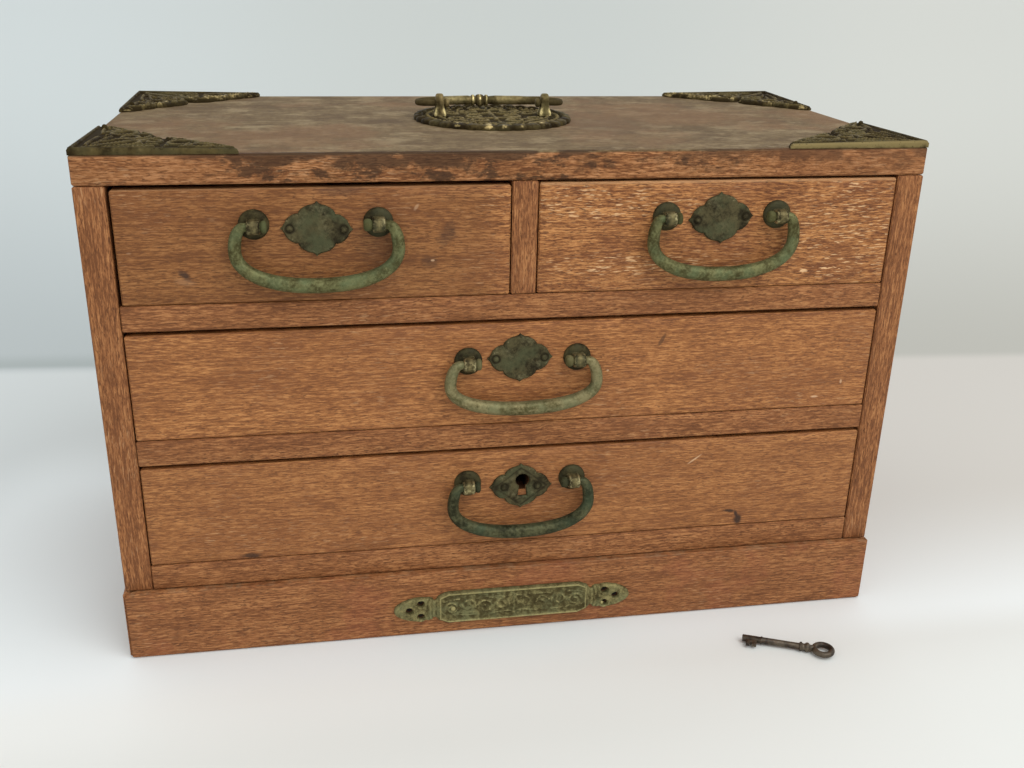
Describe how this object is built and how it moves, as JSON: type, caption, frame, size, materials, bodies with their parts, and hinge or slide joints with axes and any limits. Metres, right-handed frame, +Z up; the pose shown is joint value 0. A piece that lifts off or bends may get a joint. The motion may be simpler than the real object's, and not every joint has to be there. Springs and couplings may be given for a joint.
{
  "type": "jewelry chest",
  "caption": "Small hardwood table chest with drawers for jewelry, cast brass bail pulls, corner plates, a folding carrying handle on top and a lock with its key.",
  "frame": {"origin": "on the underside of the base, at the middle of the carcass", "axes": "+X to the right as seen from the front, +Y from the front to the back, +Z up"},
  "size_m": [0.332, 0.2171, 0.2223],
  "materials": {
    "weathered_wood": "bare, weathered grey-brown hardwood",
    "case_wood": "oiled reddish-brown hardwood with open pores",
    "drawer_wood": "oiled orange-brown hardwood with open pores",
    "inner_wood": "unfinished pale softwood",
    "dark_brass": "cast brass under a dark brown patina",
    "green_brass": "cast brass with a thin green patina",
    "olive_brass": "cast brass with an olive patina, rubbed bright on its edges",
    "lock_brass": "tarnished sheet brass",
    "dark_steel": "dark steel"
  },
  "bodies": {
    "carcass": {"top_board": "weathered_wood", "side_left": "case_wood", "side_right": "case_wood", "back_panel": "inner_wood", "bottom_board": "case_wood", "lower_shelf": "case_wood", "upper_shelf": "case_wood", "divider": "case_wood", "plinth_front": "case_wood", "plinth_left": "case_wood", "plinth_right": "case_wood", "base_panel": "inner_wood", "plinth_cartouche": "olive_brass", "corner_plate_front_left": "dark_brass", "corner_plate_front_right": "dark_brass", "corner_plate_back_left": "dark_brass", "corner_plate_back_right": "dark_brass", "top_medallion": "dark_brass", "handle_ear_left": "olive_brass", "handle_ear_right": "olive_brass"},
    "drawer_small_left": {"drawer_small_left_front": "drawer_wood", "drawer_small_left_wall_left": "inner_wood", "drawer_small_left_wall_right": "inner_wood", "drawer_small_left_tail": "inner_wood", "drawer_small_left_floor": "inner_wood", "drawer_small_left_post_left": "dark_brass", "drawer_small_left_post_right": "dark_brass", "drawer_small_left_plate": "dark_brass"},
    "drawer_small_left_bail": {"drawer_small_left_bail": "green_brass"},
    "drawer_small_right": {"drawer_small_right_front": "drawer_wood", "drawer_small_right_wall_left": "inner_wood", "drawer_small_right_wall_right": "inner_wood", "drawer_small_right_tail": "inner_wood", "drawer_small_right_floor": "inner_wood", "drawer_small_right_post_left": "dark_brass", "drawer_small_right_post_right": "dark_brass", "drawer_small_right_plate": "dark_brass"},
    "drawer_small_right_bail": {"drawer_small_right_bail": "green_brass"},
    "drawer_middle": {"drawer_middle_front": "drawer_wood", "drawer_middle_wall_left": "inner_wood", "drawer_middle_wall_right": "inner_wood", "drawer_middle_tail": "inner_wood", "drawer_middle_floor": "inner_wood", "drawer_middle_post_left": "dark_brass", "drawer_middle_post_right": "dark_brass", "drawer_middle_plate": "dark_brass"},
    "drawer_middle_bail": {"drawer_middle_bail": "green_brass"},
    "drawer_bottom": {"drawer_bottom_front": "drawer_wood", "drawer_bottom_wall_left": "inner_wood", "drawer_bottom_wall_right": "inner_wood", "drawer_bottom_tail": "inner_wood", "drawer_bottom_floor": "inner_wood", "drawer_bottom_post_left": "dark_brass", "drawer_bottom_post_right": "dark_brass", "drawer_bottom_plate": "dark_brass", "lock_case": "lock_brass"},
    "drawer_bottom_bail": {"drawer_bottom_bail": "green_brass"},
    "carrying_handle": {"carrying_handle": "olive_brass"},
    "lock_bolt": {"lock_bolt": "dark_steel"},
    "drawer_key": {"drawer_key": "dark_steel"}
  },
  "joints": [
    {"name": "drawer_small_left_slide", "type": "slide", "parent": "carcass", "child": "drawer_small_left", "axis": [0, -1, 0], "range_m": [0, 0.13]},
    {"name": "drawer_small_right_slide", "type": "slide", "parent": "carcass", "child": "drawer_small_right", "axis": [0, -1, 0], "range_m": [0, 0.13]},
    {"name": "drawer_middle_slide", "type": "slide", "parent": "carcass", "child": "drawer_middle", "axis": [0, -1, 0], "range_m": [0, 0.13]},
    {"name": "drawer_bottom_slide", "type": "slide", "parent": "carcass", "child": "drawer_bottom", "axis": [0, -1, 0], "range_m": [0, 0.13]},
    {"name": "drawer_small_left_bail_swing", "type": "hinge", "parent": "drawer_small_left", "child": "drawer_small_left_bail", "pos_m": [-0.0795, -0.0898, 0.18505], "axis": [-1, 0, 0], "range_deg": [0, 150]},
    {"name": "drawer_small_right_bail_swing", "type": "hinge", "parent": "drawer_small_right", "child": "drawer_small_right_bail", "pos_m": [0.08, -0.0898, 0.18505], "axis": [-1, 0, 0], "range_deg": [0, 150]},
    {"name": "drawer_middle_bail_swing", "type": "hinge", "parent": "drawer_middle", "child": "drawer_middle_bail", "pos_m": [0.0005, -0.0898, 0.12735], "axis": [-1, 0, 0], "range_deg": [0, 150]},
    {"name": "drawer_bottom_bail_swing", "type": "hinge", "parent": "drawer_bottom", "child": "drawer_bottom_bail", "pos_m": [0.0005, -0.0898, 0.07235], "axis": [-1, 0, 0], "range_deg": [0, 150]},
    {"name": "carrying_handle_swing", "type": "hinge", "parent": "carcass", "child": "carrying_handle", "pos_m": [0, 0, 0.2182], "axis": [1, 0, 0], "range_deg": [0, 186]},
    {"name": "lock_bolt_rise", "type": "slide", "parent": "drawer_bottom", "child": "lock_bolt", "axis": [0, 0, 1], "range_m": [0, 0.0055]},
    {"name": "drawer_key_lift", "type": "slide", "parent": "carcass", "child": "drawer_key", "axis": [0, 0, 1], "range_m": [0, 0.025]}
  ]
}
